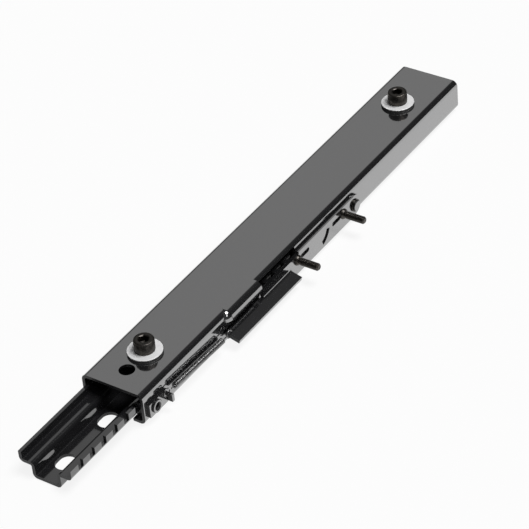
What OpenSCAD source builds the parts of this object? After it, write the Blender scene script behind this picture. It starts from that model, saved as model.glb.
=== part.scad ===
// Seat slide rail: a floor rail, a channel that slides on it and a lever latch on the channel's side.
// Millimetres. X points to the latch side, Y to the rear of the vehicle, Z up.
// The origin is on the floor, under the middle of the floor rail.

/* [Setting] */
// notch steps that the channel stands behind the front end of the floor rail
setting_steps = 6; // [5:1:7]
// notch steps of travel to either side of the setting
travel_steps = 6; // [4:1:6]

/* [Channel] */
// length of the sliding channel
channel_length = 365; // [350:1:400]
// outer width of the channel
channel_width = 44; // [42:0.5:46]
// outer height of the channel's sides
channel_height = 22; // [21.5:0.5:25]
// sheet thickness of the channel
channel_wall = 2; // [1.6:0.1:2.2]
// outer radius of the channel's bends
channel_bend = 4; // [3.6:0.1:4.4]
// width of the returns under the channel, from its outer faces
return_width = 9; // [8:0.5:10]
// height of the channel's underside above the floor
floor_gap = 1.2; // [1:0.1:2]

/* [Floor rail] */
// length of the floor rail
rail_length = 365; // [355:1:380]
// sheet thickness of the floor rail
rail_wall = 2.2; // [1.8:0.1:2.4]
// inner radius of the floor rail's bends
rail_bend = 1; // [0.6:0.1:1.2]
// outer width of the trough that takes the floor bolts
trough_width = 20.6; // [19:0.2:21.4]
// height of the lips' upper face above the floor
trough_depth = 11.4; // [10.8:0.2:12]
// gap between the flanges and the channel's sides
flange_gap = 1.2; // [1:0.1:1.6]
// gap between the flanges' upper edges and the channel's top
flange_drop = 4.6; // [4.4:0.1:5.2]

/* [Notches] */
// distance from notch to notch
notch_pitch = 11; // [10.5:0.1:11.5]
// width of a notch
notch_width = 4.6; // [4.4:0.1:5.4]
// depth of a notch from the flange's upper edge
notch_depth = 4.5; // [3:0.1:5]
// first notch's centre from the front end
notch_inset = 9.5; // [6:0.5:12]

/* [Floor slots] */
// width of a slot for a floor bolt
slot_width = 11; // [8:0.5:12]
// overall length of a slot
slot_length = 14; // [12.5:0.5:20]
// outer slots' centres from the ends of the floor rail
slot_inset = 17.5; // [14:0.5:20]
// distance between the two slots at each end
slot_spacing = 41; // [36:0.5:42]

/* [End stops] */
// diameter of the stop pin
stop_pin_d = 8; // [6:0.5:9]
// height of the stop pin's lower end above the floor
stop_pin_low = 9.5; // [8.5:0.5:10.5]
// height of the stop tabs above the floor
stop_tab_top = 12.4; // [11.6:0.2:12.8]
// width of the stop tabs
stop_tab_width = 8; // [6:0.5:9]
// room left at the stops past the last notch
stop_gap = 1; // [0.5:0.1:2]

/* [Seat fixings] */
// distance between the two seat screws
seat_spacing = 290; // [280:1:310]
// front seat screw's centre from the front end of the channel
seat_inset = 34; // [30:0.5:36]
// thread diameter of the seat screws
screw_d = 8; // [6:0.5:8]
// length of the seat screws under the head
screw_length = 12; // [11:0.5:12.5]
// diameter of the seat screws' heads
screw_head_d = 13; // [12:0.5:14]
// height of the seat screws' heads
screw_head_h = 8; // [6:0.5:9]
// width across the flats of the hexagon socket
socket_af = 6; // [5:0.5:6.5]
// depth of the hexagon socket
socket_depth = 4; // [3:0.5:5]
// outer diameter of the washers
washer_d = 22; // [18:0.5:24]
// thickness of the washers
washer_t = 2; // [1.6:0.1:2.5]
// width across the flats of the weld nuts
nut_af = 13; // [12.5:0.5:14]
// height of the weld nuts
nut_h = 6.5; // [5.5:0.5:7]
// diameter of the spare hole
spare_d = 10; // [6:0.5:12]
// spare hole's distance in front of the front seat screw
spare_offset = 18.5; // [17:0.5:20]

/* [Glide shoes] */
// length of the glide shoes
shoe_length = 50; // [35:1:56]
// distance of the glide shoes from the end that carries them
shoe_inset = 4; // [2:0.5:8]
// width of the shoes' upper pads over the flanges
shoe_top_width = 4.5; // [3.5:0.5:5.5]
// running clearance of the glide shoes
shoe_clear = 0.3; // [0.2:0.05:0.4]

/* [Latch lever] */
// sheet thickness of the lever
lever_wall = 2.5; // [2:0.1:2.8]
// gap between the lever and the channel's side
lever_gap = 0.3; // [0.2:0.05:0.5]
// lever's pivot from the front end of the channel
pivot_inset = 228; // [226:0.5:232]
// depth of the pivot under the channel's top
pivot_drop = 12; // [11.5:0.25:12.5]
// diameter of the pivot rivet
pivot_d = 5; // [4:0.5:5.5]
// diameter of the pivot rivet's head
pivot_head_d = 7; // [6.5:0.25:8]
// height of the pivot rivet's head
pivot_head_h = 1.2; // [1:0.1:1.6]
// diametral clearance of the lever on its pivot
pivot_clear = 0.4; // [0.2:0.1:0.6]
// outer diameter of the washer under the rivet's head
pivot_washer_d = 8.6; // [8.2:0.1:9.4]
// thickness of the washer under the rivet's head
pivot_washer_t = 0.6; // [0.5:0.1:1]
// radius of the lever's rounded rear end
lever_end_r = 7.25; // [7.25:0.05:7.5]
// depth of the lever's upper edge under the channel's top
lever_edge_drop = 5; // [4.5:0.25:6]
// depth of the lever's lower edge under the channel's top
lever_low_drop = 20; // [19.5:0.25:20.5]
// number of locking fingers
finger_count = 3; // [2:1:3]
// first finger's notch, counted from the front end of the channel
finger_first = 11; // [11:1:11]
// width of a locking finger
finger_width = 4; // [3.4:0.1:4.2]
// depth to which the fingers bite into the notches
finger_bite = 2.5; // [2:0.1:2.7]
// length of the fingers past the flange
finger_overrun = 0.8; // [0.4:0.1:1.5]
// front end of the shelf from the front end of the channel
shelf_inset = 83; // [82:0.5:84]
// length of the shelf
shelf_length = 69.5; // [64:0.5:71]
// reach of the shelf from the channel's side
shelf_width = 11.5; // [10:0.5:13]
// depth of the shelf's upper face at its fold under the channel's top
shelf_drop = 13.1; // [13.1:0.1:13.8]
// slope of the shelf, down to its outer edge
shelf_tilt = 15; // [13:0.5:15.5]
// inner radius of the fold between lever and shelf
shelf_bend = 2; // [1.5:0.1:2.4]

/* [Lever slots] */
// width of the straight slots
lever_slot_width = 3.2; // [2:0.1:3.5]
// length of the straight slots
lever_slot_length = 10; // [6:0.5:12]
// width of the curved slot
arc_slot_width = 3.6; // [2.4:0.1:3.6]
// radius of the curved slot
arc_slot_r = 12; // [11:0.5:14]
// angle of the curved slot
arc_slot_angle = 50; // [30:2:50]
// lean of the curved slot
arc_slot_lean = 45; // [40:1:50]
// middle of the curved slot in front of the pivot
arc_slot_offset = 34.5; // [34:0.5:37]
// depth of the curved slot's middle under the channel's top
arc_slot_drop = 13.5; // [13:0.25:14]

/* [Bar studs] */
// thread diameter of the studs for the release bar
stud_d = 5; // [4:0.5:6]
// length of the studs
stud_length = 16; // [12:0.5:18]
// distance between the studs
stud_spacing = 54; // [50:0.5:56]
// rear stud's distance in front of the pivot
stud_offset = 13.5; // [12:0.25:14]
// depth of the studs under the channel's top
stud_drop = 10; // [10:0.25:11.5]
// diameter of the studs' weld collars
stud_collar_d = 7; // [6.5:0.25:7]
// thickness of the studs' weld collars
stud_collar_t = 1.6; // [1:0.1:2.5]

/* [Latch window] */
// room at both ends of the row of fingers
window_room = 8; // [6:0.5:8.5]
// room under the fingers
window_low_room = 0.8; // [0.5:0.1:1.5]
// depth of the window's upper edge under the channel's top
window_drop = 1.8; // [1.6:0.1:2]
// outer radius of the pressed louver in front of the fingers
louver_r = 4.5; // [4.5:0.05:4.75]
// length of the louver with its rounded nose
louver_length = 38; // [34:0.5:39]
// height by which the louver stands above the channel's top
louver_rise = 0.2; // [0.1:0.05:0.4]
// louver axis inside the channel's side
louver_axis_in = 1.4; // [1.2:0.1:1.5]
// height of the louver's upright skirt
louver_skirt = 1.4; // [1.3:0.1:1.5]
// outer radius of the louver's ball-shaped nose
nose_r = 5.7; // [5.5:0.1:5.7]
// room between the louver and the lever's upright plate
louver_room = 1; // [0.5:0.1:2]

/* [Return spring] */
// outer diameter of the spring's coil
coil_d = 4; // [3.5:0.25:4.25]
// wire diameter of the spring
wire_d = 0.8; // [0.6:0.05:0.9]
// mean radius of the spring's end hooks
hook_r = 2.6; // [2.5:0.05:2.8]
// distance of the shelf's front edge from the rear hook's wire
hook_edge = 1; // [1:0.05:1.2]
// straight wire between hooks and coil
hook_lead = 4.5; // [3:0.25:6]
// distance of the spring from the channel's side
spring_out = 2.6; // [2.6:0.1:3.2]
// diameter of the holes for the hooks
hook_hole_d = 2.8; // [2.6:0.1:3]
// sheet thickness of the spring's bracket
bracket_wall = 2; // [1.5:0.1:2.2]
// front end of the bracket from the front end of the channel
bracket_inset = 3; // [2:0.25:6]
// length of the bracket along the channel
bracket_length = 17.5; // [16:0.5:20]
// height of the bracket's base
bracket_height = 9.5; // [9:0.25:11]
// depth of the bracket's upper edge under the channel's top
bracket_drop = 8.5; // [8:0.25:9.5]
// reach of the bracket's lug from the channel's side
lug_width = 7; // [6:0.5:9]
// height of the bracket's lug
lug_height = 5; // [4.8:0.1:5.4]
// depth of the lug's lower edge under the channel's top
lug_low_drop = 15.4; // [15:0.1:15.8]
// height of the hook's hole above the lug's lower edge
lug_hole_up = 2.2; // [2.1:0.05:2.4]
// diameter of the hollow rivet's flange
eyelet_d = 8.5; // [7.5:0.25:9]
// diameter of the hollow rivet's barrel
eyelet_barrel_d = 5.5; // [5:0.25:6]
// bore of the hollow rivet
eyelet_bore = 4.2; // [3:0.1:4.4]
// thickness of the hollow rivet's flange
eyelet_flange = 1.2; // [0.8:0.1:1.6]
// hollow rivet's centre from the front end of the bracket
eyelet_inset = 6.5; // [5:0.25:8]

/* [Hidden] */
$fn = 64;
// overshoot of cutting bodies
cut = 1;
// heights of the section
top_z = floor_gap + channel_height;
top_under_z = top_z - channel_wall;
flange_top_z = top_under_z - flange_drop;
lip_low_z = trough_depth - rail_wall;
return_top_z = floor_gap + channel_wall;
// half widths of the section
side_x = channel_width / 2;
inner_x = side_x - channel_wall;
flange_x = inner_x - flange_gap;
trough_x = trough_width / 2;
rail_bend_out = rail_bend + rail_wall;
// places along the rail
rail_front = -rail_length / 2;
rail_rear = rail_length / 2;
channel_front = rail_front + setting_steps * notch_pitch;
channel_rear = channel_front + channel_length;
notch_count = floor((rail_length - 2 * notch_inset) / notch_pitch) + 1;
travel = travel_steps * notch_pitch;
seat_front_y = channel_front + seat_inset;
seat_rear_y = seat_front_y + seat_spacing;
spare_y = seat_front_y - spare_offset;
// the rear stop tab stands halfway between the rear floor slots, and the pin is set out from it
stop_tab_cut = stop_tab_top - rail_wall;
stop_rear_y = rail_rear - slot_inset - slot_spacing / 2 + stop_tab_cut / 2;
stop_reach = travel + stop_gap + stop_pin_d / 2;
stop_y = stop_rear_y - stop_reach;
stop_front_y = stop_y - stop_reach;
// latch
lever_x = side_x + lever_gap;
lever_out_x = lever_x + lever_wall;
pivot_y = channel_front + pivot_inset;
pivot_z = top_z - pivot_drop;
finger_low_z = flange_top_z - finger_bite;
finger_top_z = finger_low_z + lever_wall;
finger_y = channel_front + notch_inset + finger_first * notch_pitch;
finger_tip_x = flange_x - rail_wall - finger_overrun;
finger_span = (finger_count - 1) * notch_pitch + finger_width;
shelf_front = channel_front + shelf_inset;
shelf_rear = shelf_front + shelf_length;
shelf_top_z = top_z - shelf_drop;
shelf_low_z = shelf_top_z - lever_wall;
shelf_x = side_x + shelf_width;
shelf_bend_out = shelf_bend + lever_wall;
fold_x = lever_x + shelf_bend_out;
fold_z = shelf_low_z + shelf_bend_out;
shelf_flat_out = (shelf_x - fold_x) / cos(shelf_tilt);
shelf_flat_in = -shelf_bend_out * (1 - sin(shelf_tilt)) / cos(shelf_tilt);
lever_low_z = top_z - lever_low_drop;
lever_edge_z = top_z - lever_edge_drop;
stud_z = top_z - stud_drop;
stud_rear_y = pivot_y - stud_offset;
stud_front_y = stud_rear_y - stud_spacing;
arc_slot_y = pivot_y - arc_slot_offset;
arc_slot_z = top_z - arc_slot_drop;
// window and louver
window_rear = finger_y - finger_width / 2 + finger_span + window_room;
louver_front = shelf_front;
louver_rear = louver_front + louver_length;
fold_front = louver_rear + louver_room;
louver_x = side_x - louver_axis_in;
louver_z = top_z + louver_rise - louver_r;
window_front = louver_front + nose_r;
window_low_z = finger_low_z - window_low_room;
window_top_z = top_z - window_drop;
// spring
spring_x = side_x + spring_out;
hook_rear_y = shelf_front + hook_r - hook_edge;
shelf_mid_drop = (shelf_bend_out - lever_wall / 2) / cos(shelf_tilt);
hook_rear_z = fold_z - shelf_mid_drop - (spring_x - fold_x) * tan(shelf_tilt);
bracket_front = channel_front + bracket_inset;
bracket_rear = bracket_front + bracket_length;
bracket_top_z = top_z - bracket_drop;
lug_low_z = top_z - lug_low_drop;
lug_hole_z = lug_low_z + lug_hole_up;
hook_front_y = bracket_rear - bracket_wall / 2;
hook_front_z = lug_hole_z + hook_r;
eyelet_y = bracket_front + eyelet_inset;
eyelet_z = bracket_top_z - bracket_height / 2;
spring_run_y = hook_rear_y - hook_front_y;
spring_run_z = hook_rear_z - hook_front_z;
spring_run = sqrt(spring_run_y * spring_run_y + spring_run_z * spring_run_z);
spring_tilt = atan2(spring_run_z, spring_run_y);

// extrudes an outline drawn in X and Z along Y
module along_y(from, length) {
    translate([0, from + length, 0])
        rotate([90, 0, 0])
            linear_extrude(length)
                children();
}

// extrudes an outline drawn in Y and Z along X
module along_x(from, length) {
    translate([from, 0, 0])
        rotate([90, 0, 90])
            linear_extrude(length)
                children();
}

// a round bar along X
module bar_x(from, length, d, y, z) {
    translate([from, y, z])
        rotate([0, 90, 0])
            cylinder(d = d, h = length);
}

// a quarter of a ring, the cross-section of a fold; sx and sz pick the quadrant
module fold(x, z, r_in, r_out, sx, sz) {
    translate([x, z])
        intersection() {
            difference() {
                circle(r_out);
                circle(r_in);
            }
            translate([sx < 0 ? -r_out : 0, sz < 0 ? -r_out : 0])
                square(r_out);
        }
}

// a rectangle with round corners, centred in X and standing on z
module round_rect(w, h, r, z) {
    translate([-w / 2 + r, z])
        square([w - 2 * r, h]);
    translate([-w / 2, z + r])
        square([w, h - 2 * r]);
    for (x = [-w / 2 + r, w / 2 - r])
        for (v = [z + r, z + h - r])
            translate([x, v])
                circle(r);
}

// a slot with round ends, along the second axis
module slot_outline(w, l) {
    translate([-w / 2, -l / 2 + w / 2])
        square([w, l - w]);
    for (s = [-1, 1])
        translate([0, s * (l - w) / 2])
            circle(d = w);
}

// one half of the floor rail's folded section
module rail_half() {
    square([trough_x - rail_bend_out, rail_wall]);
    fold(trough_x - rail_bend_out, rail_bend_out, rail_bend, rail_bend_out, 1, -1);
    translate([trough_x - rail_wall, rail_bend_out])
        square([rail_wall, trough_depth - 2 * rail_bend_out]);
    fold(trough_x + rail_bend, trough_depth - rail_bend_out, rail_bend, rail_bend_out, -1, 1);
    translate([trough_x + rail_bend, lip_low_z])
        square([flange_x - rail_bend_out - trough_x - rail_bend, rail_wall]);
    fold(flange_x - rail_bend_out, lip_low_z + rail_bend_out, rail_bend, rail_bend_out, 1, -1);
    translate([flange_x - rail_wall, lip_low_z + rail_bend_out])
        square([rail_wall, flange_top_z - lip_low_z - rail_bend_out]);
}

// a tab lanced from the web; side is 1 for the rear tab and -1 for the front one
module stop_tab(y, side) {
    translate([-stop_tab_width / 2, side > 0 ? y : y - rail_wall, 0])
        cube([stop_tab_width, rail_wall, stop_tab_top]);
}

// the opening that the tab leaves in the web, on the stop pin's side
module stop_tab_opening(y, side) {
    translate([-stop_tab_width / 2, side > 0 ? y - stop_tab_cut : y, -cut])
        cube([stop_tab_width, stop_tab_cut, rail_wall + 2 * cut]);
}

module lower_rail() {
    color("dimgray") {
        difference() {
            along_y(rail_front, rail_length)
                union() {
                    rail_half();
                    mirror([1, 0, 0])
                        rail_half();
                }
            for (end = [-1, 1])
                for (inset = [slot_inset, slot_inset + slot_spacing])
                    translate([0, end * (rail_rear - inset), -cut])
                        linear_extrude(rail_wall + 2 * cut)
                            slot_outline(slot_width, slot_length);
            for (i = [0 : notch_count - 1])
                translate([
                    flange_x - rail_wall - cut,
                    rail_front + notch_inset + i * notch_pitch - notch_width / 2,
                    flange_top_z - notch_depth
                ])
                    cube([rail_wall + 2 * cut, notch_width, notch_depth + cut]);
            stop_tab_opening(stop_rear_y, 1);
            stop_tab_opening(stop_front_y, -1);
        }
        stop_tab(stop_rear_y, 1);
        stop_tab(stop_front_y, -1);
    }
}

// a glide shoe's section: pads under the lip, beside the flange and over its edge, clear of the channel's bends
module shoe_section(low_z, lip_z, flange_side_x, wall_x, edge_z, high_z) {
    pad_x = trough_x + rail_wall;
    corner = channel_bend - channel_wall;
    translate([pad_x, low_z])
        square([wall_x - corner - pad_x, lip_z - low_z]);
    translate([pad_x, low_z + corner])
        square([wall_x - pad_x, lip_z - low_z - corner]);
    translate([flange_side_x, low_z + corner])
        square([wall_x - flange_side_x, high_z - low_z - 2 * corner]);
    translate([wall_x - shoe_top_width, edge_z])
        square([shoe_top_width - corner, high_z - edge_z]);
    translate([wall_x - shoe_top_width, edge_z])
        square([shoe_top_width, high_z - corner - edge_z]);
}

// the front shoes sit in the channel and run on the floor rail
module front_shoe() {
    color("black")
        along_y(channel_front + shoe_inset, shoe_length)
            shoe_section(return_top_z, lip_low_z - shoe_clear, flange_x + shoe_clear, inner_x,
                         flange_top_z + shoe_clear, top_under_z);
}

// the rear shoes sit on the floor rail and run in the channel
module rear_shoe() {
    color("black")
        along_y(rail_rear - shoe_inset - shoe_length, shoe_length)
            shoe_section(return_top_z + shoe_clear, lip_low_z, flange_x, inner_x - shoe_clear,
                         flange_top_z, top_under_z - shoe_clear);
}

module left_front_shoe() {
    mirror([1, 0, 0])
        front_shoe();
}

module right_front_shoe() {
    front_shoe();
}

module left_rear_shoe() {
    mirror([1, 0, 0])
        rear_shoe();
}

module right_rear_shoe() {
    rear_shoe();
}

module channel_section() {
    difference() {
        round_rect(channel_width, channel_height, channel_bend, floor_gap);
        round_rect(channel_width - 2 * channel_wall, channel_height - 2 * channel_wall,
                   channel_bend - channel_wall, return_top_z);
        translate([-side_x + return_width, floor_gap - cut])
            square([channel_width - 2 * return_width, channel_wall + 2 * cut]);
    }
}

// the pressed louver's section: the top drawn outwards, folded down and ended by an upright skirt
module louver_section() {
    flat_x = side_x - channel_bend;
    translate([flat_x, louver_z + louver_r - channel_wall])
        square([louver_x - flat_x, channel_wall]);
    fold(louver_x, louver_z, louver_r - channel_wall, louver_r, 1, 1);
    translate([louver_x + louver_r - channel_wall, louver_z - louver_skirt])
        square([channel_wall, louver_skirt]);
}

// a ball on a round skirt, the shape of the louver's nose
module louver_ball(r, skirt) {
    sphere(r);
    translate([0, 0, -skirt])
        cylinder(r = r, h = skirt);
}

// the louver, closed by a ball-shaped nose in front
module louver() {
    grow = nose_r - louver_r;
    nose_x = louver_x - grow;
    nose_skirt = louver_skirt - grow;
    along_y(window_front, louver_rear - window_front)
        louver_section();
    translate([nose_x, window_front, louver_z - grow])
        intersection() {
            difference() {
                louver_ball(nose_r, nose_skirt);
                louver_ball(nose_r - channel_wall, nose_skirt + cut);
            }
            translate([inner_x - nose_x, -nose_r, -nose_skirt])
                cube([nose_x + nose_r - inner_x, nose_r, nose_skirt + nose_r]);
        }
}

module upper_rail() {
    color("slategray") {
        difference() {
            along_y(channel_front, channel_length)
                channel_section();
            for (y = [seat_front_y, seat_rear_y])
                translate([0, y, top_under_z - cut])
                    cylinder(d = screw_d, h = channel_wall + 2 * cut);
            translate([0, spare_y, top_under_z - cut])
                cylinder(d = spare_d, h = channel_wall + 2 * cut);
            translate([inner_x - cut, window_front, window_low_z])
                cube([channel_wall + 2 * cut, window_rear - window_front, window_top_z - window_low_z]);
            bar_x(inner_x - cut, channel_wall + 2 * cut, pivot_d, pivot_y, pivot_z);
            bar_x(inner_x - cut, channel_wall + 2 * cut, eyelet_barrel_d, eyelet_y, eyelet_z);
        }
        louver();
    }
}

module stop_pin() {
    color("gainsboro")
        translate([0, stop_y, stop_pin_low])
            cylinder(d = stop_pin_d, h = top_under_z - stop_pin_low);
}

module weld_nut(y) {
    color("silver")
        translate([0, y, top_under_z - nut_h])
            difference() {
                cylinder(d = nut_af / cos(30), h = nut_h, $fn = 6);
                translate([0, 0, -cut])
                    cylinder(d = screw_d, h = nut_h + 2 * cut);
            }
}

module front_weld_nut() {
    weld_nut(seat_front_y);
}

module rear_weld_nut() {
    weld_nut(seat_rear_y);
}

module washer(y) {
    color("whitesmoke")
        translate([0, y, top_z])
            difference() {
                cylinder(d = washer_d, h = washer_t);
                translate([0, 0, -cut])
                    cylinder(d = screw_d, h = washer_t + 2 * cut);
            }
}

module front_washer() {
    washer(seat_front_y);
}

module rear_washer() {
    washer(seat_rear_y);
}

module seat_screw(y) {
    color("black")
        translate([0, y, top_z + washer_t])
            difference() {
                union() {
                    translate([0, 0, -screw_length])
                        cylinder(d = screw_d, h = screw_length);
                    cylinder(d = screw_head_d, h = screw_head_h);
                }
                translate([0, 0, screw_head_h - socket_depth])
                    cylinder(d = socket_af / cos(30), h = socket_depth + cut, $fn = 6);
            }
}

module front_seat_screw() {
    seat_screw(seat_front_y);
}

module rear_seat_screw() {
    seat_screw(seat_rear_y);
}

// the lever's flat plate behind the shelf
module lever_plate() {
    difference() {
        union() {
            translate([shelf_rear, lever_low_z])
                square([pivot_y - shelf_rear, pivot_z - lever_low_z]);
            translate([window_rear, pivot_z])
                square([pivot_y - window_rear, lever_edge_z - pivot_z]);
            translate([shelf_rear - cut, pivot_z])
                square([window_rear - shelf_rear + cut, finger_top_z - pivot_z]);
            translate([pivot_y, pivot_z])
                circle(lever_end_r);
        }
        translate([pivot_y, pivot_z])
            circle(d = pivot_d + pivot_clear);
        for (y = [stud_rear_y - stud_collar_d / 2, stud_front_y + stud_collar_d / 2 + lever_slot_length])
            translate([y - lever_slot_length / 2, stud_z])
                rotate(90)
                    slot_outline(lever_slot_width, lever_slot_length);
        translate([arc_slot_y - arc_slot_r * cos(arc_slot_lean), arc_slot_z + arc_slot_r * sin(arc_slot_lean)])
            rotate(180 - arc_slot_lean)
                arc_slot();
    }
}

// a curved slot, drawn about its centre of curvature
module arc_slot() {
    r_in = arc_slot_r - arc_slot_width / 2;
    r_out = arc_slot_r + arc_slot_width / 2;
    half = arc_slot_angle / 2;
    far = 2 * r_out;
    intersection() {
        difference() {
            circle(r_out);
            circle(r_in);
        }
        polygon([[0, 0], [-far, far * tan(half)], [-far, -far * tan(half)]]);
    }
}

// the sloping flat of the shelf, its ends measured along the slope from the end of the fold
module shelf_flat(from, to) {
    translate([fold_x, fold_z])
        rotate(-shelf_tilt)
            translate([from, -shelf_bend_out])
                square([to - from, lever_wall]);
}

// the folded section of lever and shelf
module shelf_section() {
    translate([lever_x, fold_z])
        square([lever_wall, finger_top_z - fold_z]);
    intersection() {
        fold(fold_x, fold_z, shelf_bend, shelf_bend_out, -1, -1);
        translate([fold_x, fold_z])
            rotate(-shelf_tilt)
                translate([-2 * shelf_bend_out, -2 * shelf_bend_out])
                    square([2 * shelf_bend_out, 4 * shelf_bend_out]);
    }
    shelf_flat(0, shelf_flat_out);
}

// the shelf's section under the louver
module shelf_front_section() {
    shelf_flat(shelf_flat_in, shelf_flat_out);
}

module latch_lever() {
    color("darkslategray")
        difference() {
            union() {
                along_x(lever_x, lever_wall)
                    lever_plate();
                along_y(fold_front, shelf_rear - fold_front)
                    shelf_section();
                along_y(shelf_front, fold_front - shelf_front)
                    shelf_front_section();
                for (i = [0 : finger_count - 1])
                    translate([finger_tip_x, finger_y + i * notch_pitch - finger_width / 2, finger_low_z])
                        cube([lever_out_x - finger_tip_x, finger_width, lever_wall]);
            }
            translate([spring_x, hook_rear_y + hook_r, hook_rear_z - lever_wall])
                cylinder(d = hook_hole_d, h = 2 * lever_wall);
        }
}

module bar_stud(y) {
    tip = stud_d / 8;
    color("black")
        union() {
            bar_x(lever_out_x, stud_collar_t, stud_collar_d, y, stud_z);
            bar_x(lever_out_x, stud_length - tip, stud_d, y, stud_z);
            translate([lever_out_x + stud_length - tip, y, stud_z])
                rotate([0, 90, 0])
                    cylinder(d1 = stud_d, d2 = stud_d - 2 * tip, h = tip);
        }
}

module front_bar_stud() {
    bar_stud(stud_front_y);
}

module rear_bar_stud() {
    bar_stud(stud_rear_y);
}

module pivot_washer() {
    color("silver")
        difference() {
            bar_x(lever_out_x + lever_gap, pivot_washer_t, pivot_washer_d, pivot_y, pivot_z);
            bar_x(lever_out_x, pivot_washer_t + 2 * cut, pivot_d, pivot_y, pivot_z);
        }
}

module pivot_rivet() {
    head_x = lever_out_x + lever_gap + pivot_washer_t;
    rim = pivot_head_h / 2;
    color("black")
        union() {
            bar_x(inner_x, head_x - inner_x, pivot_d, pivot_y, pivot_z);
            bar_x(head_x, rim, pivot_head_d, pivot_y, pivot_z);
            translate([head_x + rim, pivot_y, pivot_z])
                rotate([0, 90, 0])
                    cylinder(d1 = pivot_head_d, d2 = pivot_head_d - 2 * rim, h = pivot_head_h - rim);
        }
}

module spring_bracket() {
    color("dimgray")
        difference() {
            union() {
                translate([side_x, bracket_front, bracket_top_z - bracket_height])
                    cube([bracket_wall, bracket_length, bracket_height]);
                translate([side_x, bracket_rear - bracket_wall, lug_low_z])
                    cube([lug_width, bracket_wall, lug_height]);
            }
            bar_x(side_x - cut, bracket_wall + 2 * cut, eyelet_barrel_d, eyelet_y, eyelet_z);
            translate([spring_x, bracket_rear + cut, lug_hole_z])
                rotate([90, 0, 0])
                    cylinder(d = hook_hole_d, h = bracket_wall + 2 * cut);
        }
}

module spring_eyelet() {
    flange_from = side_x + bracket_wall;
    color("silver")
        difference() {
            union() {
                bar_x(inner_x, flange_from - inner_x, eyelet_barrel_d, eyelet_y, eyelet_z);
                bar_x(flange_from, eyelet_flange, eyelet_d, eyelet_y, eyelet_z);
            }
            bar_x(inner_x - cut, channel_wall + bracket_wall + eyelet_flange + 2 * cut,
                  eyelet_bore, eyelet_y, eyelet_z);
        }
}

// a closed hook in the plane of Y and Z
module spring_hook(y, z) {
    translate([spring_x, y, z])
        rotate([0, 90, 0])
            rotate_extrude()
                translate([hook_r, 0])
                    circle(d = wire_d);
}

module return_spring() {
    coil_from = hook_r + hook_lead;
    color("black")
        union() {
            spring_hook(hook_front_y, hook_front_z);
            spring_hook(hook_rear_y, hook_rear_z);
            translate([spring_x, hook_front_y, hook_front_z])
                rotate([spring_tilt - 90, 0, 0]) {
                    translate([0, 0, hook_r])
                        cylinder(d = wire_d, h = spring_run - 2 * hook_r);
                    translate([0, 0, coil_from])
                        cylinder(d = coil_d, h = spring_run - 2 * coil_from);
                }
        }
}

lower_rail();
left_rear_shoe();
right_rear_shoe();
upper_rail();
left_front_shoe();
right_front_shoe();
stop_pin();
front_weld_nut();
rear_weld_nut();
front_washer();
rear_washer();
front_seat_screw();
rear_seat_screw();
spring_bracket();
spring_eyelet();
return_spring();
pivot_rivet();
pivot_washer();
latch_lever();
front_bar_stud();
rear_bar_stud();
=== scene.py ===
"""Looks of the seat slide rail: camera, studio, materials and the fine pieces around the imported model."""

import math

import bpy
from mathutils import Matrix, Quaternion, Vector


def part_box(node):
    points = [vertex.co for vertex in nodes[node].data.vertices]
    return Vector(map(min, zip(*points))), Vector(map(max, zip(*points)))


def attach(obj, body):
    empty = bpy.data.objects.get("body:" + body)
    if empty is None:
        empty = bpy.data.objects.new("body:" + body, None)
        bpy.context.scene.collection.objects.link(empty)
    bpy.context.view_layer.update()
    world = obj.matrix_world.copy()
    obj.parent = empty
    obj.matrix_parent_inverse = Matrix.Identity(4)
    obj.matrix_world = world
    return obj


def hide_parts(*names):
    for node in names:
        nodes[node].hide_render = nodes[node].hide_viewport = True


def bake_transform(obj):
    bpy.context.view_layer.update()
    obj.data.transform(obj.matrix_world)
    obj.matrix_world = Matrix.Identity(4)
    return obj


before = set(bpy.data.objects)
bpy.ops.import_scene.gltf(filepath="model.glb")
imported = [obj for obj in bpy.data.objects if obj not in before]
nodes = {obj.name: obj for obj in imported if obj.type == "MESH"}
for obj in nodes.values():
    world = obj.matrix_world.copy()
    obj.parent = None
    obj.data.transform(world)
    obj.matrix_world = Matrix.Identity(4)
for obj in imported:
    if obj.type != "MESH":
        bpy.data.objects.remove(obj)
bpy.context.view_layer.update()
MM = 0.001

# Camera: the photograph's viewpoint, turned to the rail's middle
CAMERA_PLACE = Vector((0.7219, -0.9219, 0.9292))
CAMERA_AIM = Vector((0.005, 0.036, 0.0082))
CAMERA_ROLL = math.radians(5.7)
CAMERA_LENS = 165.0

# Studio: a broad overhead lamp, a small side lamp, a pale floor and a world darker on the latch side
OVERHEAD_FROM = Vector((0.31, 0.18, 0.93))
OVERHEAD_STRENGTH = 2.5
OVERHEAD_ANGLE = 30
SIDE_FROM = Vector((0.69, -0.24, 0.67))
SIDE_STRENGTH = 0.2
SIDE_ANGLE = 9
WORLD_BASE = 0.08
WORLD_BRIGHT = 0.35
WORLD_DARK = 0.06
BRIGHT_TOWARDS = Vector((-0.476, 0.635, 0.608)).normalized()
DARK_TOWARDS = Vector((0.62, 0.66, 0.42)).normalized()
# Cosines of the angles at which each patch of the world is full, and at which it ends
BRIGHT_FULL, BRIGHT_END = 0.985, 0.935
DARK_FULL, DARK_END = 0.92, 0.45
FLOOR_TONE = 0.95
FLOOR_LIFT = 0.86
FLOOR_SIZE = 30.0
FLOOR_DROP = 0.0002


def socket_values(node, **values):
    """Sets a node's inputs, with the spaces of their names written as underscores."""
    for key, value in values.items():
        node.inputs[key.replace("_", " ")].default_value = value
    return node


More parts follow.
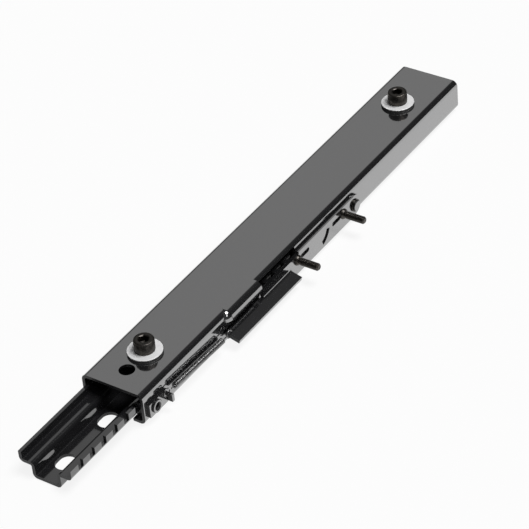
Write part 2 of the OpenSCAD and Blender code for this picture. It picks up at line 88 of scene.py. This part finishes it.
class Graph:
    """A material's or a world's node tree, with short calls to add and link nodes."""

    def __init__(self, owner):
        owner.use_nodes = True
        self.tree = owner.node_tree
        self.tree.nodes.clear()

    def add(self, kind, settings=None, **values):
        node = self.tree.nodes.new(kind)
        for key, value in (settings or {}).items():
            setattr(node, key, value)
        return socket_values(node, **values)

    def link(self, source, target):
        self.tree.links.new(source, target)

    def math(self, operation, a, b=None, clamp=False):
        """A Math node on two sockets or numbers; gives its output socket."""
        node = self.add("ShaderNodeMath", {"operation": operation, "use_clamp": clamp})
        for place, value in enumerate((a, b)):
            if isinstance(value, (int, float)):
                node.inputs[place].default_value = value
            elif value is not None:
                self.link(value, node.inputs[place])
        return node.outputs[0]

    def noise(self, coordinates, scale, detail=2.0, roughness=0.5):
        node = self.add("ShaderNodeTexNoise", Scale=scale, Detail=detail, Roughness=roughness)
        self.link(coordinates, node.inputs["Vector"])
        return node.outputs["Fac"]

    def spread(self, value, low, high, from_low=0.0, from_high=1.0):
        """Maps a value from one range to another."""
        node = self.add("ShaderNodeMapRange", From_Min=from_low, From_Max=from_high, To_Min=low, To_Max=high)
        self.link(value, node.inputs["Value"])
        return node.outputs["Result"]

    def tint(self, factor, colour_a, colour_b):
        node = self.add("ShaderNodeMix", {"data_type": "RGBA"})
        self.link(factor, node.inputs[0])
        node.inputs[6].default_value = (*colour_a, 1)
        node.inputs[7].default_value = (*colour_b, 1)
        return node.outputs[2]

    def cover(self, factor, colour_socket, colour):
        """Lays a plain colour over another one."""
        node = self.add("ShaderNodeMix", {"data_type": "RGBA"})
        self.link(factor, node.inputs[0])
        self.link(colour_socket, node.inputs[6])
        node.inputs[7].default_value = (*colour, 1)
        return node.outputs[2]


EDGE_RADIUS = 0.2 * MM
DULL_ROUGHER = 0.35
# Top of the floor rail's web, where the bolt slots are punched
WEB_TOP = 2.2 * MM


def rounded_normal(graph):
    """A normal that is rounded over the sharp edges."""
    return graph.add("ShaderNodeBevel", {"samples": 6}, Radius=EDGE_RADIUS).outputs["Normal"]


def edge_mask(graph):
    """1 on the sharp edges and 0 on the flats."""
    geometry = graph.add("ShaderNodeNewGeometry")
    dot = graph.add("ShaderNodeVectorMath", {"operation": "DOT_PRODUCT"})
    graph.link(rounded_normal(graph), dot.inputs[0])
    graph.link(geometry.outputs["Normal"], dot.inputs[1])
    return graph.spread(dot.outputs["Value"], 1.0, 0.0, 0.75, 0.99)


def along_axis(graph, axis):
    """How far a face looks along one of the object's axes, from 0 to 1."""
    normal = graph.add("ShaderNodeTexCoord").outputs["Normal"]
    parts = graph.add("ShaderNodeSeparateXYZ")
    graph.link(normal, parts.inputs[0])
    return graph.math("ABSOLUTE", parts.outputs[axis])


def sheared_faces(graph):
    """1 on the faces that are sheared across the rail, and 0 on the sheets' faces."""
    return graph.spread(along_axis(graph, "Y"), 0.0, 1.0, 0.70, 0.80)


def upright_faces(graph):
    """1 on upright faces and 0 on level ones."""
    return graph.spread(along_axis(graph, "Z"), 1.0, 0.0, 0.3, 0.8)


def sheared_or_punched_faces(graph):
    """1 on sheared faces and on the walls of the slots in the floor rail's web, and 0 elsewhere."""
    place = graph.add("ShaderNodeTexCoord").outputs["Object"]
    parts = graph.add("ShaderNodeSeparateXYZ")
    graph.link(place, parts.inputs[0])
    low = graph.spread(parts.outputs["Z"], 1.0, 0.0, WEB_TOP, WEB_TOP + 0.2 * MM)
    walls = graph.math("MULTIPLY", upright_faces(graph), low)
    return graph.math("MAXIMUM", sheared_faces(graph), walls)


def rolled_faces(graph):
    """1 on the rims and the mouth of a rivet that lies along X, and 0 on its flat flange."""
    return graph.spread(along_axis(graph, "X"), 1.0, 0.0, 0.7, 0.9)


def finish_surface(graph, shader):
    output = graph.add("ShaderNodeOutputMaterial")
    graph.link(shader.outputs[0], output.inputs["Surface"])


def paint(name, colour, edge_colour, roughness, peel, gloss, dull_faces=sheared_faces):
    """Baked black paint: a fine orange peel, slightly uneven gloss and thinner, paler cover on the edges.
    The gloss is the index of refraction of its clear skin, which the dull faces lack."""
    material = bpy.data.materials.new(name)
    graph = Graph(material)
    place = graph.add("ShaderNodeTexCoord").outputs["Object"]
    edges = edge_mask(graph)
    patches = graph.noise(place, 260, 3)
    worn = graph.math("MULTIPLY", edges, graph.spread(patches, 0.2, 1.0, 0.35, 0.65), clamp=True)
    bump = graph.add("ShaderNodeBump", Strength=peel, Distance=0.03 * MM)
    graph.link(graph.noise(place, 900, 2), bump.inputs["Height"])
    shader = graph.add("ShaderNodeBsdfPrincipled", IOR=1.5, Coat_IOR=gloss, Coat_Roughness=0.06)
    dull = dull_faces(graph)
    graph.link(graph.spread(dull, 1.0, 0.0), shader.inputs["Coat Weight"])
    graph.link(graph.tint(worn, colour, edge_colour), shader.inputs["Base Color"])
    uneven = graph.noise(place, 45, 4)
    skin = graph.spread(uneven, roughness - 0.05, roughness + 0.05, 0.3, 0.7)
    rougher = graph.math("MULTIPLY", dull, DULL_ROUGHER)
    graph.link(graph.math("ADD", skin, rougher), shader.inputs["Roughness"])
    graph.link(bump.outputs["Normal"], shader.inputs["Normal"])
    graph.link(bump.outputs["Normal"], shader.inputs["Coat Normal"])
    finish_surface(graph, shader)
    return material


def metal(name, colour, stain, roughness, grain, metallic=1.0, side=None):
    """Plated or blackened metal: cloudy stains, uneven gloss and a fine grain.
    A painted shade colour, if given, darkens the upright faces."""
    material = bpy.data.materials.new(name)
    graph = Graph(material)
    place = graph.add("ShaderNodeTexCoord").outputs["Object"]
    bump = graph.add("ShaderNodeBump", Strength=grain, Distance=0.02 * MM)
    graph.link(graph.noise(place, 2600, 2), bump.inputs["Height"])
    graph.link(rounded_normal(graph), bump.inputs["Normal"])
    shader = graph.add("ShaderNodeBsdfPrincipled", Metallic=metallic)
    clouds = graph.noise(place, 320, 4, 0.6)
    tone = graph.tint(graph.spread(clouds, 0, 1, 0.35, 0.65), colour, stain)
    # Painted shade: the side colour darkens the upright faces, as if they lay in shadow
    if side:
        tone = graph.cover(upright_faces(graph), tone, side)
    graph.link(tone, shader.inputs["Base Color"])
    graph.link(graph.spread(clouds, roughness - 0.06, roughness + 0.06, 0.3, 0.7), shader.inputs["Roughness"])
    graph.link(bump.outputs["Normal"], shader.inputs["Normal"])
    finish_surface(graph, shader)
    return material


def moulded(name, colour, pale, roughness):
    """Moulded plastic with a faint mottle and a satin skin."""
    material = bpy.data.materials.new(name)
    graph = Graph(material)
    place = graph.add("ShaderNodeTexCoord").outputs["Object"]
    bump = graph.add("ShaderNodeBump", Strength=0.12, Distance=0.02 * MM)
    graph.link(graph.noise(place, 1800, 2), bump.inputs["Height"])
    shader = graph.add("ShaderNodeBsdfPrincipled", IOR=1.5)
    mottle = graph.noise(place, 120, 3)
    graph.link(graph.tint(mottle, colour, pale), shader.inputs["Base Color"])
    graph.link(graph.spread(mottle, roughness - 0.05, roughness + 0.05), shader.inputs["Roughness"])
    graph.link(bump.outputs["Normal"], shader.inputs["Normal"])
    finish_surface(graph, shader)
    return material


BLACK = (0.012, 0.012, 0.013)
BLACK_EDGE = (0.045, 0.045, 0.047)
CHANNEL_PAINT = paint("channel_paint", BLACK, BLACK_EDGE, 0.15, 0.10, 3.3)
RAIL_PAINT = paint("rail_paint", BLACK, BLACK_EDGE, 0.16, 0.08, 1.75, sheared_or_punched_faces)
LEVER_PAINT = paint("lever_paint", BLACK, BLACK_EDGE, 0.16, 0.10, 3.3)
RIVET_PAINT = paint("rivet_paint", BLACK, BLACK, 0.16, 0.08, 3.3, rolled_faces)
ZINC = metal("zinc", (0.82, 0.82, 0.83), (0.70, 0.71, 0.73), 0.34, 0.15)
# Painted shade: near-black on the washers' upright sides, standing in for the shade under their rims
PAINTED_SHADE_ON_WASHER_SIDES = (0.06, 0.06, 0.06)
WASHER_ZINC = metal("washer_zinc", (0.94, 0.94, 0.94), (0.86, 0.86, 0.87), 0.42, 0.15, 0.2, PAINTED_SHADE_ON_WASHER_SIDES)
BLACK_OXIDE = metal("black_oxide", (0.085, 0.078, 0.070), (0.050, 0.047, 0.045), 0.36, 0.25)
SPRING_STEEL = metal("spring_steel", (0.30, 0.30, 0.30), (0.20, 0.20, 0.20), 0.30, 0.12)
NYLON = moulded("nylon", (0.020, 0.020, 0.021), (0.032, 0.032, 0.033), 0.42)

NODE_MATERIALS = {
    RAIL_PAINT: ["lower_rail"],
    CHANNEL_PAINT: ["upper_rail", "spring_bracket"],
    RIVET_PAINT: ["spring_eyelet", "pivot_rivet"],
    LEVER_PAINT: ["latch_lever"],
    ZINC: ["stop_pin", "front_weld_nut", "rear_weld_nut"],
    WASHER_ZINC: ["front_washer", "rear_washer"],
    BLACK_OXIDE: ["front_seat_screw", "rear_seat_screw", "pivot_washer", "front_bar_stud", "rear_bar_stud"],
    SPRING_STEEL: ["return_spring"],
    NYLON: ["left_front_shoe", "right_front_shoe", "left_rear_shoe", "right_rear_shoe"],
}
for material, names in NODE_MATERIALS.items():
    for name in names:
        nodes[name].data.materials.clear()
        nodes[name].data.materials.append(material)


# Meshes: rings of points that are joined by quads, round the Z or the X axis

SMOOTH_BELOW = math.radians(32)
RING_COUNT = 144
THREAD_STEPS = 10


def new_object(name, points, faces, material, smooth_below=SMOOTH_BELOW):
    """Makes an object that is smooth over its flat edges."""
    mesh = bpy.data.meshes.new(name)
    mesh.from_pydata(points, [], faces)
    mesh.update()
    mesh.materials.append(material)
    mesh.shade_smooth()
    mesh.set_sharp_from_angle(angle=smooth_below)
    piece = bpy.data.objects.new(name, mesh)
    bpy.context.scene.collection.objects.link(piece)
    return piece


def add_piece(name, points, faces, material, node, body):
    """Makes a piece that stands for a CAD node and rides on its body."""
    piece = new_object(name, points, faces, material)
    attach(piece, body)
    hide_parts(node)
    return piece


def around_z(x, y):
    return lambda r, angle, height: (x + r * math.cos(angle), y + r * math.sin(angle), height)


def around_x(y, z):
    return lambda r, angle, height: (height, y + r * math.cos(angle), z + r * math.sin(angle))


def turned(profile, count, place, closed=False):
    """Revolves a profile of (radius, height) pairs, where each may be a function of the angle.
    A closed profile joins its last ring to the first; an open one is closed by a point at both ends."""
    points, faces = [], []
    for radius, height in profile:
        for i in range(count):
            angle = 2 * math.pi * i / count
            r = radius(angle) if callable(radius) else radius
            h = height(angle) if callable(height) else height
            points.append(place(r, angle, h))
    rings = len(profile)
    pairs = [(k, (k + 1) % rings) for k in range(rings if closed else rings - 1)]
    for a, b in pairs:
        for i in range(count):
            j = (i + 1) % count
            faces.append((a * count + i, a * count + j, b * count + j, b * count + i))
    if not closed:
        for ring, turn in ((0, -1), (rings - 1, 1)):
            loop = points[ring * count:(ring + 1) * count]
            middle = len(points)
            points.append(tuple(sum(p[k] for p in loop) / count for k in range(3)))
            for i in range(count):
                j = (i + 1) % count
                a, b = ring * count + i, ring * count + j
                faces.append((a, b, middle) if turn > 0 else (b, a, middle))
    return points, faces


def hexagon(across_flats):
    """Radius of a hexagon by angle, with a corner at angle 0."""
    sixth = math.pi / 3
    return lambda angle: across_flats / 2 / math.cos(angle % sixth - sixth / 2)


def thread(major, depth, pitch, height):
    """Radius of a thread by angle, at one height."""
    def radius(angle):
        turn = (height / pitch - angle / (2 * math.pi)) % 1
        flank = min(max((abs(2 * turn - 1) - 0.15) / 0.7, 0), 1)
        return major - depth * flank
    return radius


def capped(radius, limit):
    """A radius by angle that stays under a limit."""
    return lambda angle: min(radius(angle), limit)


def thread_rings(low, high, major, pitch, low_cut=0.0, high_cut=0.0):
    """Rings of a thread between two heights, with a cone turned on each end."""
    depth = 0.6 * pitch
    steps = round((high - low) / pitch * THREAD_STEPS)
    rings = []
    for k in range(steps + 1):
        height = low + (high - low) * k / steps
        limit = major
        if low_cut:
            limit = min(limit, major - low_cut + (height - low))
        if high_cut:
            limit = min(limit, major - high_cut + (high - height))
        rings.append((capped(thread(major, depth, pitch, height), limit), height))
    return rings


def seat_screw(name, node):
    """A socket head cap screw: knurled head, hexagon socket with a cone, threaded shank."""
    low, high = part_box(node)
    x, y = (low.x + high.x) / 2, (low.y + high.y) / 2
    head_r = (high.x - low.x) / 2
    head_h, shank_r, pitch = 8 * MM, 4 * MM, 1.25 * MM
    socket_af, socket_depth = 6 * MM, 4 * MM
    knurl_depth, knurl_count = 0.16 * MM, 48
    chamfer, under = 0.6 * MM, high.z - head_h
    socket = hexagon(socket_af)
    cone_r = socket_af / 2 / math.cos(math.pi / 6) + 0.15 * MM

    def knurl(angle):
        return head_r - knurl_depth * (0.5 - 0.5 * math.cos(knurl_count * angle))

    rings = thread_rings(low.z, under, shank_r, pitch, low_cut=0.9 * MM)
    rings += [
        (head_r - 0.5 * MM, under), (head_r - 0.15 * MM, under + 0.1 * MM),
        (head_r - 0.1 * MM, under + 0.5 * MM),
        (knurl, under + 0.8 * MM), (knurl, high.z - chamfer - 0.35 * MM),
        (head_r - 0.12 * MM, high.z - chamfer), (head_r - 0.12 * MM - 0.25 * MM, high.z - 0.2 * MM),
        (head_r - chamfer - 0.1 * MM, high.z), (cone_r + 0.05 * MM, high.z), (cone_r, high.z - 0.02 * MM),
        (socket, high.z - 0.4 * MM), (socket, high.z - socket_depth),
        (0.4 * socket_af, high.z - socket_depth - 0.05 * MM), (0.1 * MM, high.z - socket_depth - 1.1 * MM),
    ]
    points, faces = turned(rings, RING_COUNT, around_z(x, y))
    return add_piece(name, points, faces, BLACK_OXIDE, node, "channel")


def washer(name, node):
    """A punched washer: rolled-over upper edge, sharper lower one."""
    low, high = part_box(node)
    x, y = (low.x + high.x) / 2, (low.y + high.y) / 2
    outer, inner = (high.x - low.x) / 2, 4.2 * MM
    roll, burr = 0.45 * MM, 0.12 * MM
    rings = [(inner, low.z + burr), (inner + burr, low.z), (outer - burr, low.z), (outer, low.z + burr)]
    for step in range(6):
        turn = math.pi / 2 * step / 5
        rings.append((outer - roll * (1 - math.cos(turn)), high.z - roll * (1 - math.sin(turn))))
    rings += [(inner + 2 * burr, high.z), (inner, high.z - 2 * burr)]
    points, faces = turned(rings, RING_COUNT, around_z(x, y), closed=True)
    return add_piece(name, points, faces, WASHER_ZINC, node, "channel")


def weld_nut(name, node):
    """A hexagon weld nut with cut corners and a plain bore."""
    low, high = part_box(node)
    x, y = (low.x + high.x) / 2, (low.y + high.y) / 2
    flats, bore, pitch = (high.y - low.y), 4 * MM, 1.25 * MM
    outline, face_r, slope = hexagon(flats), 0.475 * flats, math.tan(math.radians(30))
    depth = 0.08 * pitch
    rings = [
        (bore + 0.4 * MM, low.z), (face_r, low.z),
        (outline, lambda angle: low.z + (outline(angle) - face_r) * slope),
        (outline, high.z - 0.4 * MM),
        (lambda angle: outline(angle) - 0.4 * MM, high.z),
        (bore + 0.4 * MM, high.z), (bore + depth, high.z - 0.4 * MM), (bore + depth, low.z + 0.4 * MM),
    ]
    points, faces = turned(rings, RING_COUNT, around_z(x, y), closed=True)
    return add_piece(name, points, faces, ZINC, node, "channel")


def bar_stud(name, node):
    """A welded stud for the release bar: collar with a weld fillet, threaded shank, turned tip."""
    low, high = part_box(node)
    y, z = (low.y + high.y) / 2, (low.z + high.z) / 2
    collar_r, collar_t, shank_r, pitch = (high.z - low.z) / 2, 1.6 * MM, 2.5 * MM, 0.8 * MM
    rings = [
        (collar_r, low.x), (collar_r - 0.05 * MM, low.x + 0.5 * MM),
        (collar_r - 0.35 * MM, low.x + 1.1 * MM),
        (shank_r + 0.35 * MM, low.x + collar_t), (shank_r - 0.45 * MM, low.x + collar_t + 0.3 * MM),
    ]
    rings += thread_rings(low.x + collar_t + 0.9 * MM, high.x, shank_r, pitch, 0.5 * MM, 0.8 * MM)
    points, faces = turned(rings, 72, around_x(y, z))
    return add_piece(name, points, faces, BLACK_OXIDE, node, "latch")


def pivot_rivet(name, node):
    """A rivet with a flat head that is rounded at its rim."""
    low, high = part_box(node)
    y, z = (low.y + high.y) / 2, (low.z + high.z) / 2
    head_r, head_h, shank_r = (high.z - low.z) / 2, 1.2 * MM, 2.5 * MM
    under, roll = high.x - head_h, 0.6 * MM
    rings = [(shank_r - 0.3 * MM, low.x), (shank_r, low.x + 0.3 * MM), (shank_r, under),
             (head_r - 0.2 * MM, under), (head_r, under + 0.2 * MM)]
    for step in range(8):
        turn = math.pi / 2 * step / 7
        rings.append((head_r - roll * (1 - math.cos(turn)), high.x - roll * (1 - math.sin(turn))))
    rings.append((0.2 * MM, high.x))
    points, faces = turned(rings, 96, around_x(y, z))
    return add_piece(name, points, faces, RIVET_PAINT, node, "channel")


def eyelet(name, node):
    """A hollow rivet with a rolled flange and a flared mouth."""
    low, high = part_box(node)
    y, z = (low.y + high.y) / 2, (low.z + high.z) / 2
    flange_r, barrel_r, bore_r, flange_t = (high.z - low.z) / 2, 2.75 * MM, 2.1 * MM, 1.2 * MM
    back, mouth_r, roll = high.x - flange_t, 2.9 * MM, 0.4 * MM
    rings = [(bore_r, low.x), (barrel_r, low.x), (barrel_r, back), (flange_r - 0.3 * MM, back),
             (flange_r, back + 0.25 * MM)]
    for step in range(6):
        turn = math.pi / 2 * step / 5
        rings.append((flange_r - roll * (1 - math.cos(turn)), high.x - roll * (1 - math.sin(turn))))
    rings += [(mouth_r + 0.2 * MM, high.x), (mouth_r, high.x - 0.1 * MM), (bore_r, back + 0.1 * MM)]
    points, faces = turned(rings, 72, around_x(y, z), closed=True)
    return add_piece(name, points, faces, RIVET_PAINT, node, "channel")


# Return spring: one wire from hook to hook

WIRE_R = 0.4 * MM
HOOK_R = 2.6 * MM
COIL_R = 1.6 * MM
LEAD = 4.5 * MM
COIL_PITCH = 0.9 * MM
WIRE_SIDES = 10
WIRE_SMOOTH_BELOW = math.radians(60)
COIL_STEPS = 28
HOOK_STEPS = 40


def spring_path(front, rear):
    """The wire's points from the front hook through the coil to the rear hook."""
    along = (rear - front).normalized()
    side = Vector((1, 0, 0))
    up = side.cross(along).normalized()
    if up.z < 0:
        up = -up
    start, end = front + along * (HOOK_R + LEAD), rear - along * (HOOK_R + LEAD)
    turns = math.floor((end - start).length / COIL_PITCH)
    hook_turn = math.radians(318)
    points = []
    for i in range(HOOK_STEPS):
        angle = hook_turn * (1 - i / HOOK_STEPS)
        points.append(front + HOOK_R * (along * math.cos(angle) - up * math.sin(angle)))
    points.append(front + along * HOOK_R)
    points.append(front + along * (HOOK_R + 0.35 * LEAD))
    total = turns * COIL_STEPS
    for i in range(total + 1):
        share = i / total
        angle = 2 * math.pi * turns * share
        ramp = min(1.0, share * turns / 0.5, (1 - share) * turns / 0.5)
        radius = COIL_R * math.sin(math.pi / 2 * ramp)
        turn = up * math.cos(angle) + side * math.sin(angle)
        points.append(start + (end - start) * share + radius * turn)
    points.append(rear - along * (HOOK_R + 0.35 * LEAD))
    points.append(rear - along * HOOK_R)
    for i in range(1, HOOK_STEPS + 1):
        angle = hook_turn * i / HOOK_STEPS
        points.append(rear + HOOK_R * (-along * math.cos(angle) + up * math.sin(angle)))
    return points


def wire(path, radius, sides):
    """A round wire along a path, with closed ends."""
    points, faces = [], []
    normal = Vector((1, 0, 0))
    for i, centre in enumerate(path):
        tangent = (path[min(i + 1, len(path) - 1)] - path[max(i - 1, 0)]).normalized()
        normal = (normal - tangent * normal.dot(tangent)).normalized()
        across = tangent.cross(normal)
        for k in range(sides):
            angle = 2 * math.pi * k / sides
            points.append(centre + radius * (normal * math.cos(angle) + across * math.sin(angle)))
    for i in range(len(path) - 1):
        for k in range(sides):
            j = (k + 1) % sides
            faces.append((i * sides + k, i * sides + j, (i + 1) * sides + j, (i + 1) * sides + k))
    last = (len(path) - 1) * sides
    faces.append(tuple(reversed(range(sides))))
    faces.append(tuple(range(last, last + sides)))
    return points, faces


def return_spring(name, node):
    """The whole spring, with one end on the channel and the other on the latch."""
    low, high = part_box(node)
    x, reach = (low.x + high.x) / 2, HOOK_R + WIRE_R
    front = Vector((x, low.y + reach, high.z - reach))
    rear = Vector((x, high.y - reach, low.z + reach))
    points, faces = wire(spring_path(front, rear), WIRE_R, WIRE_SIDES)
    piece = new_object(name, points, faces, SPRING_STEEL, WIRE_SMOOTH_BELOW)
    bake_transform(piece)
    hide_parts(node)
    return piece


seat_screw("front_cap_screw", "front_seat_screw")
seat_screw("rear_cap_screw", "rear_seat_screw")
washer("front_plain_washer", "front_washer")
washer("rear_plain_washer", "rear_washer")
weld_nut("front_hex_nut", "front_weld_nut")
weld_nut("rear_hex_nut", "rear_weld_nut")
bar_stud("front_threaded_stud", "front_bar_stud")
bar_stud("rear_threaded_stud", "rear_bar_stud")
pivot_rivet("pivot_flat_rivet", "pivot_rivet")
eyelet("spring_rolled_eyelet", "spring_eyelet")
return_spring("coil_spring", "return_spring")


# Studio

def lamp(name, towards, strength, angle):
    """A broad soft lamp, far away in a given direction."""
    data = bpy.data.lights.new(name, "SUN")
    data.energy = strength
    data.angle = math.radians(angle)
    obj = bpy.data.objects.new(name, data)
    obj.rotation_euler = towards.to_track_quat("Z", "Y").to_euler()
    obj.location = towards * 2
    bpy.context.scene.collection.objects.link(obj)


def seen_rays(graph):
    """1 for rays that show the background: camera, glossy and transmission rays."""
    path = graph.add("ShaderNodeLightPath")
    mirrored = graph.math("ADD", path.outputs["Is Glossy Ray"], path.outputs["Is Transmission Ray"])
    return graph.math("ADD", path.outputs["Is Camera Ray"], mirrored, clamp=True)


def studio_floor():
    half = FLOOR_SIZE / 2
    mesh = bpy.data.meshes.new("floor")
    corners = ((-half, -half), (half, -half), (half, half), (-half, half))
    mesh.from_pydata([(x, y, -FLOOR_DROP) for x, y in corners], [], [(0, 1, 2, 3)])
    floor = bpy.data.objects.new("floor", mesh)
    bpy.context.scene.collection.objects.link(floor)
    material = bpy.data.materials.new("floor_paper")
    graph = Graph(material)
    paper = graph.add("ShaderNodeBsdfDiffuse", Color=(FLOOR_TONE, FLOOR_TONE, FLOOR_TONE, 1))
    glow = graph.add("ShaderNodeEmission", Color=(1, 1, 1, 1), Strength=1.0)
    mix = graph.add("ShaderNodeMixShader")
    graph.link(graph.math("MULTIPLY", seen_rays(graph), FLOOR_LIFT), mix.inputs[0])
    graph.link(paper.outputs[0], mix.inputs[1])
    graph.link(glow.outputs[0], mix.inputs[2])
    finish_surface(graph, mix)
    mesh.materials.append(material)


def studio_world():
    """A soft world: brighter to the upper left rear, darker to the right rear, white to the camera."""
    world = bpy.data.worlds.new("studio")
    bpy.context.scene.world = world
    graph = Graph(world)
    direction = graph.add("ShaderNodeTexCoord").outputs["Generated"]

    def towards(vector, full, end):
        """A patch of the world around a direction, 1 in its middle and 0 outside."""
        dot = graph.add("ShaderNodeVectorMath", {"operation": "DOT_PRODUCT"})
        graph.link(direction, dot.inputs[0])
        dot.inputs[1].default_value = vector
        smooth = {"interpolation_type": "SMOOTHSTEP"}
        node = graph.add("ShaderNodeMapRange", smooth, From_Min=end, From_Max=full)
        graph.link(dot.outputs["Value"], node.inputs["Value"])
        return node.outputs["Result"]

    bright = graph.math("MULTIPLY", towards(BRIGHT_TOWARDS, BRIGHT_FULL, BRIGHT_END), WORLD_BRIGHT)
    dark = graph.math("MULTIPLY", towards(DARK_TOWARDS, DARK_FULL, DARK_END), WORLD_DARK)
    strength = graph.math("SUBTRACT", graph.math("ADD", bright, WORLD_BASE), dark)
    path = graph.add("ShaderNodeLightPath")
    lit = graph.add("ShaderNodeBackground", Color=(1, 1, 1, 1))
    graph.link(strength, lit.inputs["Strength"])
    white = graph.add("ShaderNodeBackground", Color=(1, 1, 1, 1), Strength=1.0)
    mix = graph.add("ShaderNodeMixShader")
    graph.link(path.outputs["Is Camera Ray"], mix.inputs[0])
    graph.link(lit.outputs[0], mix.inputs[1])
    graph.link(white.outputs[0], mix.inputs[2])
    output = graph.add("ShaderNodeOutputWorld")
    graph.link(mix.outputs[0], output.inputs["Surface"])


def studio_camera():
    data = bpy.data.cameras.new("camera")
    data.lens = CAMERA_LENS
    camera = bpy.data.objects.new("camera", data)
    camera.location = CAMERA_PLACE
    camera.rotation_mode = "QUATERNION"
    level = (CAMERA_AIM - CAMERA_PLACE).to_track_quat("-Z", "Y")
    camera.rotation_quaternion = level @ Quaternion((0, 0, 1), -CAMERA_ROLL)
    bpy.context.scene.collection.objects.link(camera)
    bpy.context.scene.camera = camera


studio_camera()
lamp("overhead_lamp", OVERHEAD_FROM.normalized(), OVERHEAD_STRENGTH, OVERHEAD_ANGLE)
lamp("side_lamp", SIDE_FROM.normalized(), SIDE_STRENGTH, SIDE_ANGLE)
studio_floor()
studio_world()
bpy.context.scene.view_settings.view_transform = "Standard"
